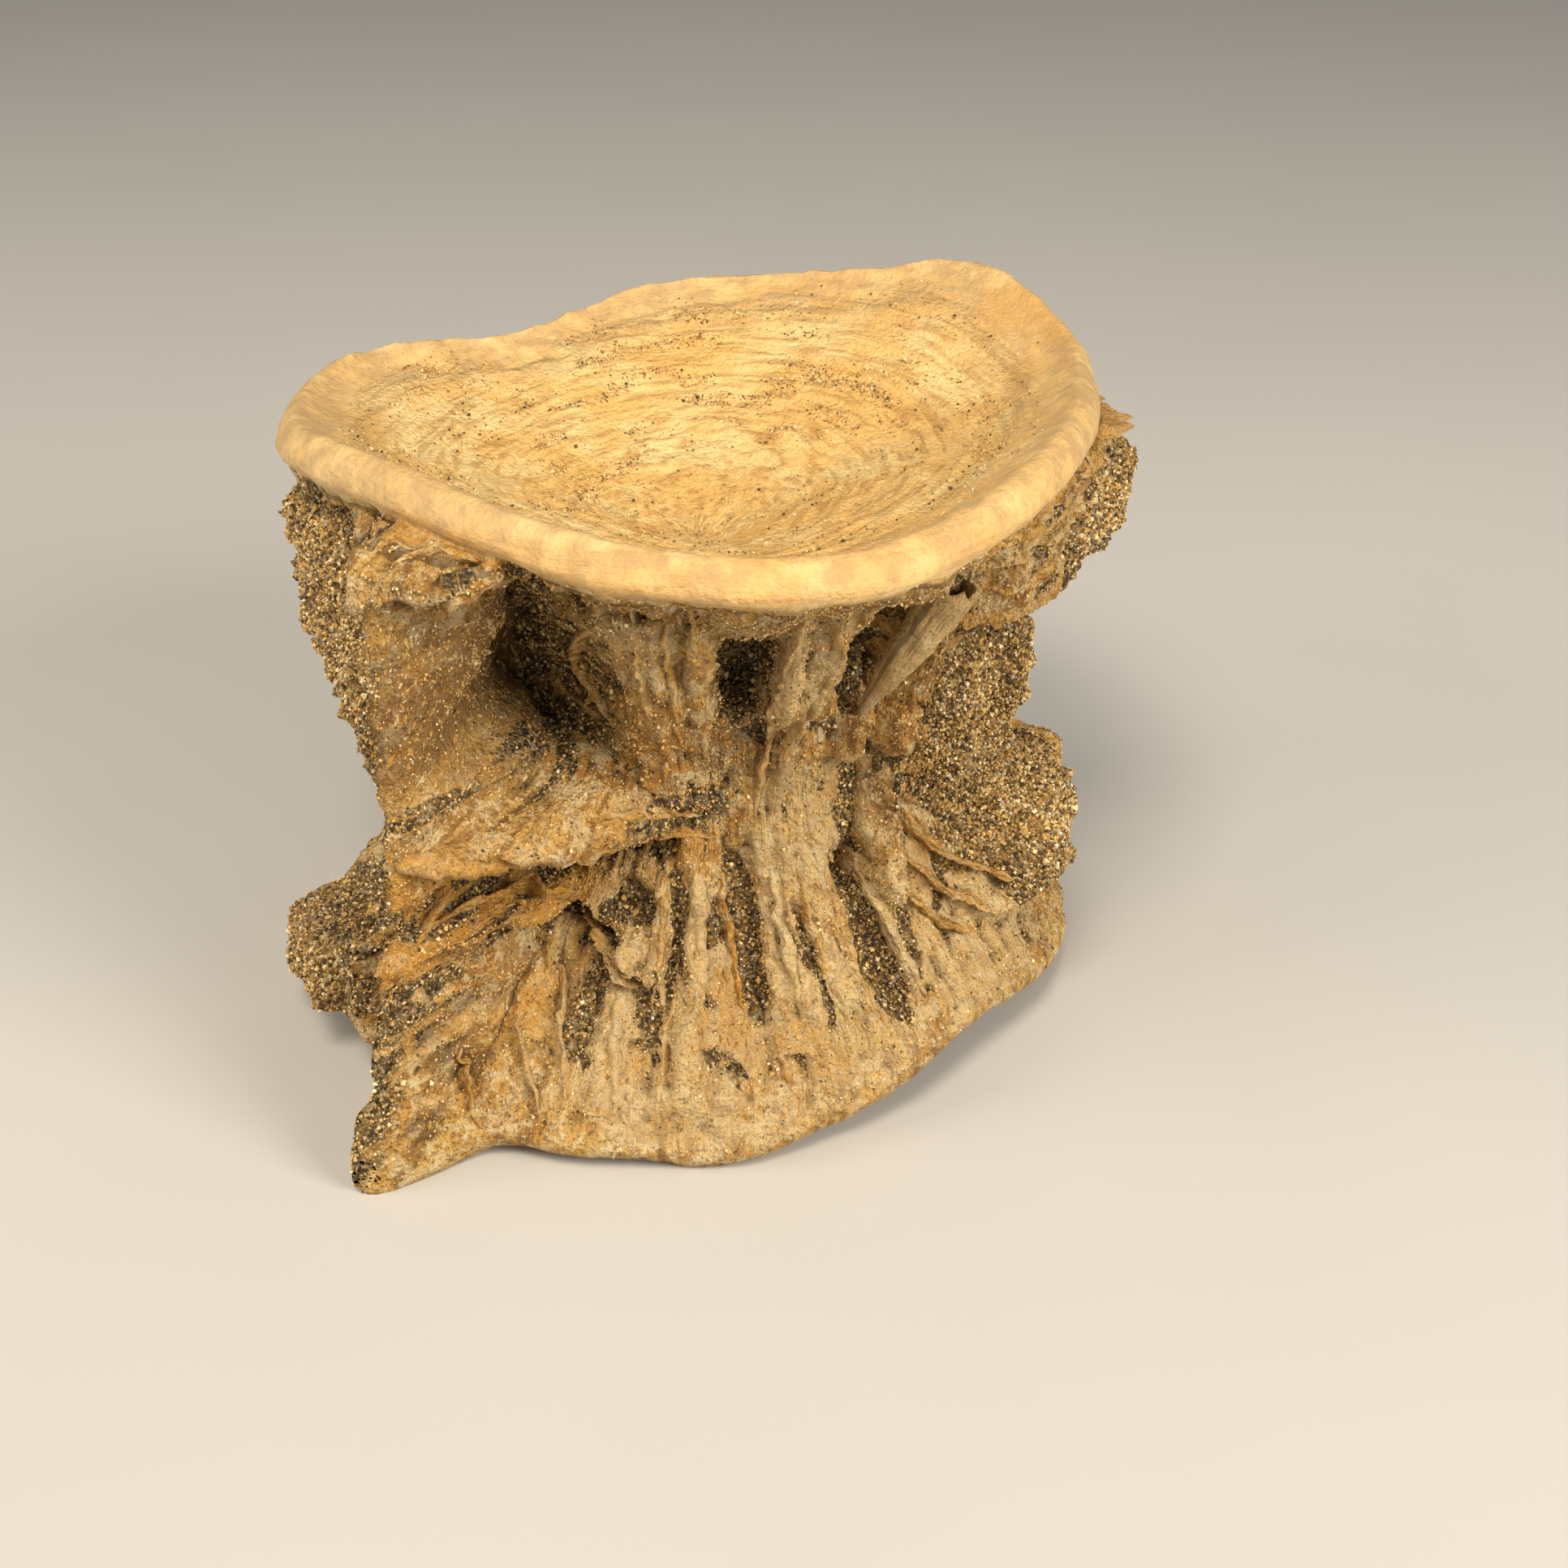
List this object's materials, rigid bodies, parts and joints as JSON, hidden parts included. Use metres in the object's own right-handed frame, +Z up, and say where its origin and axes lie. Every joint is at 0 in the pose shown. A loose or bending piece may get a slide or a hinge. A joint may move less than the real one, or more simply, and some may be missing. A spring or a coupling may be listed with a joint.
{
  "type": "fossil fish vertebra",
  "caption": "Fossil backbone centrum standing on one end: two hollow cupped ends, a narrow waist with pits and struts, and sandy rock on its sides.",
  "frame": {"origin": "centre of the bounding box, on the surface that the bone stands on", "axes": "+Z up along the bone's own axis, +X to the right and +Y away from the picture's camera"},
  "size_m": [0.0592, 0.0576, 0.0451],
  "materials": {
    "fossil_bone": "matte cream and ochre mineralised bone",
    "sandy_rock": "rough salt and pepper sandstone"
  },
  "bodies": {
    "root": {"centrum": "fossil_bone", "rock_left_face": "sandy_rock", "rock_lower_left": "sandy_rock", "rock_right_shoulder": "sandy_rock", "rock_right_recess": "sandy_rock", "rock_back": "sandy_rock"}
  },
  "joints": []
}
